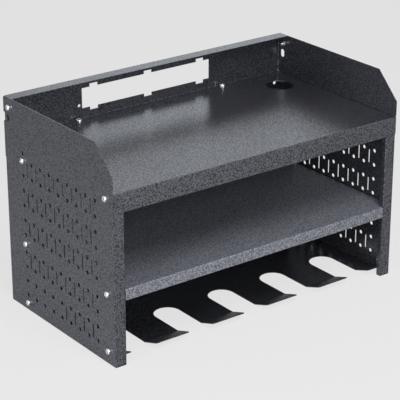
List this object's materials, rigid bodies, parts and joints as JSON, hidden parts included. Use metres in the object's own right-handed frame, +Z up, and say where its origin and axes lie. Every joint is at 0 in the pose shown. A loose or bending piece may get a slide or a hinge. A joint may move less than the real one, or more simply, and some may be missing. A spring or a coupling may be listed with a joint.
{
  "type": "hanging organizer",
  "caption": "Wall-hung sheet-metal organizer with two shelves between perforated side panels, a slotted plate for power tools and a back rail with a window.",
  "frame": {"origin": "middle of the footprint, level with the undersides of the side panels and the tool plate", "axes": "+X to the right as seen from the front, +Y to the wall, +Z up; the open front faces -Y"},
  "size_m": [0.5622, 0.298, 0.349],
  "materials": {
    "hammertone": "black hammertone powder coat",
    "zinc": "bright zinc plate"
  },
  "bodies": {
    "root": {"left_side_panel": "hammertone", "right_side_panel": "hammertone", "top_shelf": "hammertone", "middle_shelf": "hammertone", "tool_holder_plate": "hammertone", "back_rail": "hammertone", "left_rail_screw": "zinc", "left_rail_nut": "zinc", "left_top_shelf_screws": "zinc", "left_top_shelf_nuts": "zinc", "left_middle_shelf_screws": "zinc", "left_middle_shelf_nuts": "zinc", "left_tool_plate_screws": "zinc", "left_tool_plate_nuts": "zinc", "right_rail_screw": "zinc", "right_rail_nut": "zinc", "right_top_shelf_screws": "zinc", "right_top_shelf_nuts": "zinc", "right_middle_shelf_screws": "zinc", "right_middle_shelf_nuts": "zinc", "right_tool_plate_screws": "zinc", "right_tool_plate_nuts": "zinc", "rail_foot_screws": "zinc", "rail_foot_nuts": "zinc"}
  },
  "joints": []
}
